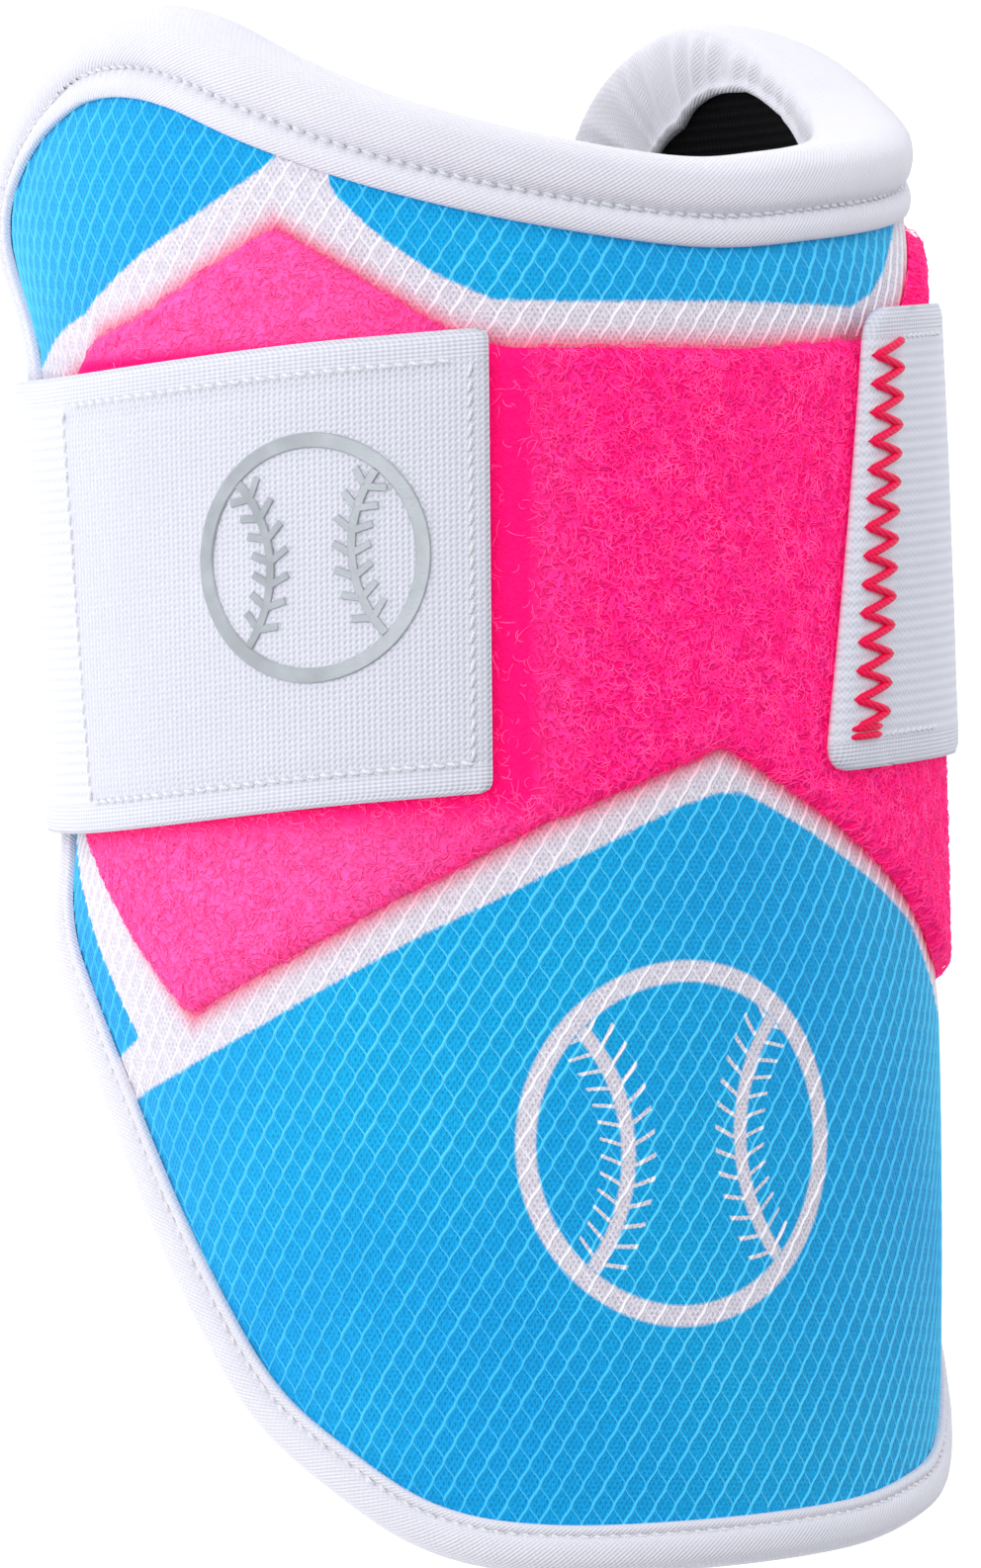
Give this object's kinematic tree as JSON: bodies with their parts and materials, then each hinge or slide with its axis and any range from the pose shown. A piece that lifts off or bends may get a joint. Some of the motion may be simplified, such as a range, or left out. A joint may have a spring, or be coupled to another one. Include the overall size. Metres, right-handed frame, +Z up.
{
  "type": "baseball elbow guard",
  "caption": "Padded curved elbow guard with a rolled upper cuff, bound edges, a loop panel and a wide elastic strap that closes round the arm.",
  "frame": {"origin": "on the floor under the middle of the whole guard, which lies on the flat back of its strap", "axes": "+Z up through the front of the pad, +Y along the arm towards the upper arm, +X to the side of the strap's sewn end"},
  "size_m": [0.135, 0.2182, 0.1067],
  "materials": {
    "cover_mesh": "blue air mesh with raised diamond ribs and printed white bands",
    "rib_lining": "black finely ribbed knit",
    "white_twill": "matte white twill, stitched in a groove",
    "loop_pile": "bright pink brushed loop pile",
    "hook_tape": "white moulded hook tape",
    "elastic_webbing": "matte white ribbed woven elastic"
  },
  "bodies": {
    "root": {"pad": "cover_mesh", "lining": "rib_lining", "top_cuff": "white_twill", "edge_binding": "white_twill", "loop_panel": "loop_pile", "hook_patch": "hook_tape", "strap": "elastic_webbing"}
  },
  "joints": []
}
